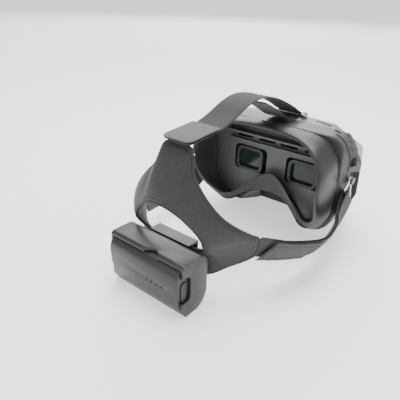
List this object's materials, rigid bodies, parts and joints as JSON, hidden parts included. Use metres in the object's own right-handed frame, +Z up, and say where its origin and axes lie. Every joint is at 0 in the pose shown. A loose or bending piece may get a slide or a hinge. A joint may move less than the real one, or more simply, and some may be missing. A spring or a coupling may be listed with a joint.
{
  "type": "video goggles",
  "caption": "Video goggles with a face cushion, elastic straps, a padded head panel and a battery in a clip-on holder at the back.",
  "frame": {"origin": "centre of the bounding box, on the surface the object rests on", "axes": "+X to the wearer's right, +Y the way the wearer looks, +Z up"},
  "size_m": [0.1892, 0.2703, 0.1442],
  "materials": {
    "housing": "fine satin grain, dark grey",
    "front_shell": "fine satin grain, mid grey",
    "frame_ring": "satin, mid grey",
    "cushion": "soft faux leather, near black",
    "inner_plastic": "satin black",
    "wire": "drawn wire, satin",
    "board": "green solder mask",
    "small_plastic": "satin black",
    "control_trim": "semi gloss, near black",
    "lens": "coated glass, green tint",
    "display": "dark screen",
    "panel": "smooth padded knit, dark grey",
    "webbing": "elastic webbing, dark grey",
    "side_tab": "brushed hook and loop tab, grey",
    "top_tab": "brushed hook and loop tab, light grey",
    "holder": "satin, dark grey",
    "battery": "satin, dark grey",
    "battery_button": "satin, near black",
    "cells": "shrink wrap",
    "light_pipe": "translucent white"
  },
  "bodies": {
    "goggles": {"rear_housing": "housing", "front_shell": "front_shell", "cushion_frame": "frame_ring", "face_gasket": "cushion", "faceplate": "inner_plastic", "guide_rods": "wire", "main_board": "board", "fan_housing": "inner_plastic", "control_strip": "control_trim", "vent_insert": "inner_plastic", "port_block": "inner_plastic", "power_jack": "inner_plastic", "housing_screws": "wire", "top_lug": "housing", "top_ring": "wire", "left_stud": "housing", "right_stud": "housing", "top_strap": "webbing"},
    "eye_left": {"barrel_left": "inner_plastic", "lens_left": "lens", "display_left": "display", "slider_left": "small_plastic"},
    "eye_right": {"barrel_right": "inner_plastic", "lens_right": "lens", "display_right": "display", "slider_right": "small_plastic"},
    "fan": {"fan_rotor": "small_plastic"},
    "stick": {"stick": "control_trim"},
    "back_button": {"back_button": "control_trim"},
    "harness": {"head_panel": "panel", "clip_plate": "holder", "left_strap": "webbing", "right_strap": "webbing", "left_ring": "wire", "right_ring": "wire", "left_tab": "side_tab", "right_tab": "side_tab", "top_tab": "top_tab", "panel_ring": "wire", "battery_holder": "holder", "holder_screws": "wire"},
    "battery": {"battery_case": "battery", "battery_cells": "cells", "battery_board": "board", "battery_leds": "light_pipe", "battery_socket": "inner_plastic"},
    "battery_button": {"battery_button": "battery_button"}
  },
  "joints": [
    {"name": "ipd_left", "type": "slide", "parent": "goggles", "child": "eye_left", "axis": [1, 0, 0], "range_m": [-0.003, 0.003]},
    {"name": "ipd_right", "type": "slide", "parent": "goggles", "child": "eye_right", "axis": [1, 0, 0], "range_m": [-0.003, 0.003]},
    {"name": "fan_spin", "type": "hinge", "parent": "goggles", "child": "fan", "pos_m": [0, 0.104, 0.057], "axis": [0, 1, 0], "continuous": true},
    {"name": "stick_press", "type": "slide", "parent": "goggles", "child": "stick", "axis": [-0.4695, 0, -0.8829], "range_m": [0, 0.0012], "stiffness_N_per_m": 400, "springref_m": -0.0008},
    {"name": "back_press", "type": "slide", "parent": "goggles", "child": "back_button", "axis": [-0.7071, 0, -0.7071], "range_m": [0, 0.0012], "stiffness_N_per_m": 400, "springref_m": -0.0008},
    {"name": "headband_swing", "type": "hinge", "parent": "goggles", "child": "harness", "pos_m": [0, 0.056, 0.069], "axis": [1, 0, 0], "range_deg": [-12, 6], "deforming": ["top_strap"]},
    {"name": "battery_slide", "type": "slide", "parent": "harness", "child": "battery", "axis": [0, -1, 0], "range_m": [0, 0.035]},
    {"name": "battery_button_press", "type": "slide", "parent": "battery", "child": "battery_button", "axis": [-1, 0, 0], "range_m": [0, 0.0012], "stiffness_N_per_m": 400, "springref_m": -0.0008}
  ]
}
